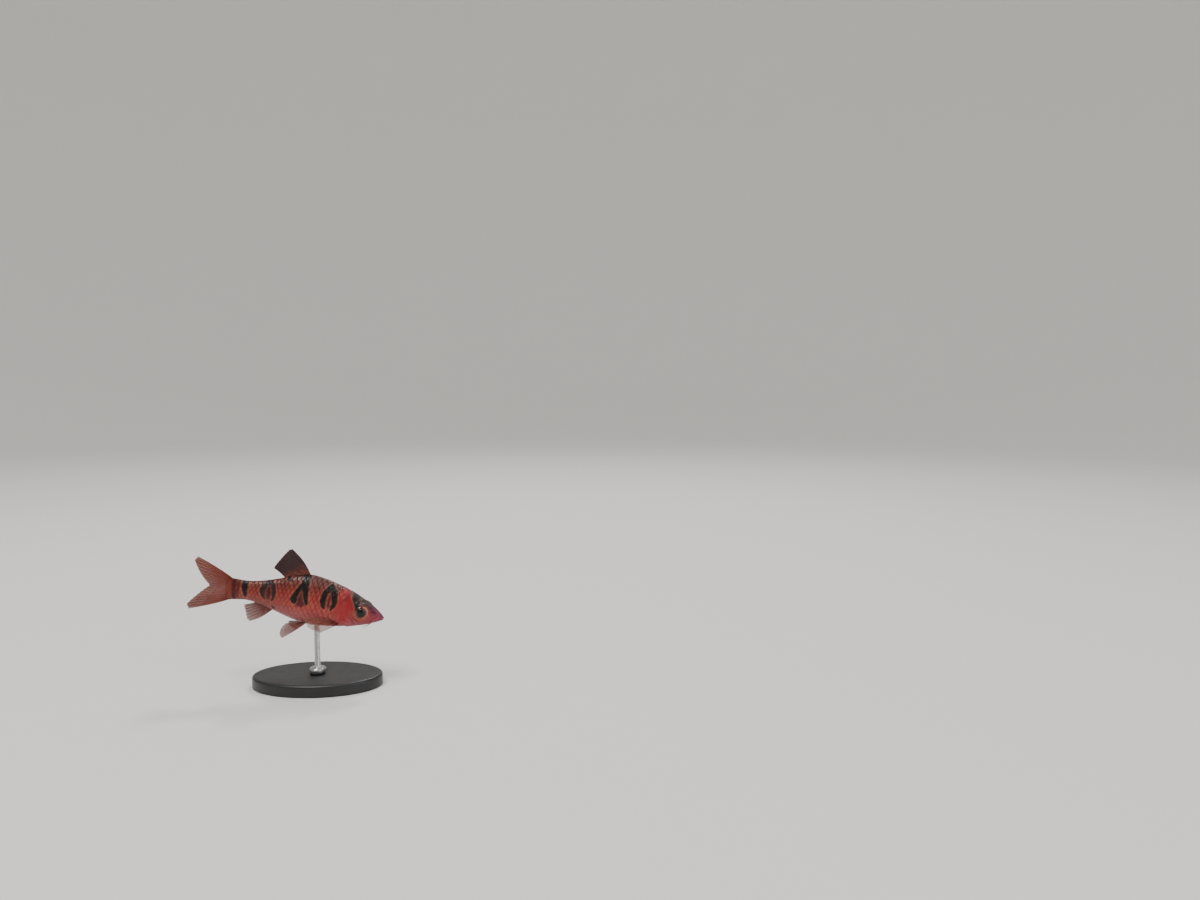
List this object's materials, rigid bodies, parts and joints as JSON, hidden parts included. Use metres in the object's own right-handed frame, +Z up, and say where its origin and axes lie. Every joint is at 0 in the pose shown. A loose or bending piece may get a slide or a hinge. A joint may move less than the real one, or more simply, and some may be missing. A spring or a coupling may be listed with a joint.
{
  "type": "snakeskin barb display model",
  "caption": "Life-size still model of a small banded barb swimming nose down, with forked tail, barbels and rayed fins, on a rod and an oval base.",
  "frame": {"origin": "centre of the stand base's underside, straight below the rod", "axes": "+X towards the fish's head, +Y towards its left side, +Z up; the fish's own axis is pitched 11.5 degrees nose down"},
  "size_m": [0.0566, 0.024, 0.0407],
  "materials": {
    "fish_skin": "salmon orange scaled skin with dark bars, wet gloss",
    "eye": "dark pupil in a pink and red iris, polished",
    "fin": "thin red-brown rayed membrane, clear towards its edge",
    "stand_base": "black, satin",
    "stand_rod": "brushed"
  },
  "bodies": {
    "root": {"head": "fish_skin", "torso": "fish_skin", "tail": "fish_skin", "eye_left": "eye", "eye_right": "eye", "dorsal_fin": "fin", "anal_fin": "fin", "caudal_fin_upper": "fin", "caudal_fin_lower": "fin", "pectoral_fin_left": "fin", "pectoral_fin_right": "fin", "pelvic_fin_left": "fin", "pelvic_fin_right": "fin", "stand_base": "stand_base", "stand_rod": "stand_rod"}
  },
  "joints": []
}
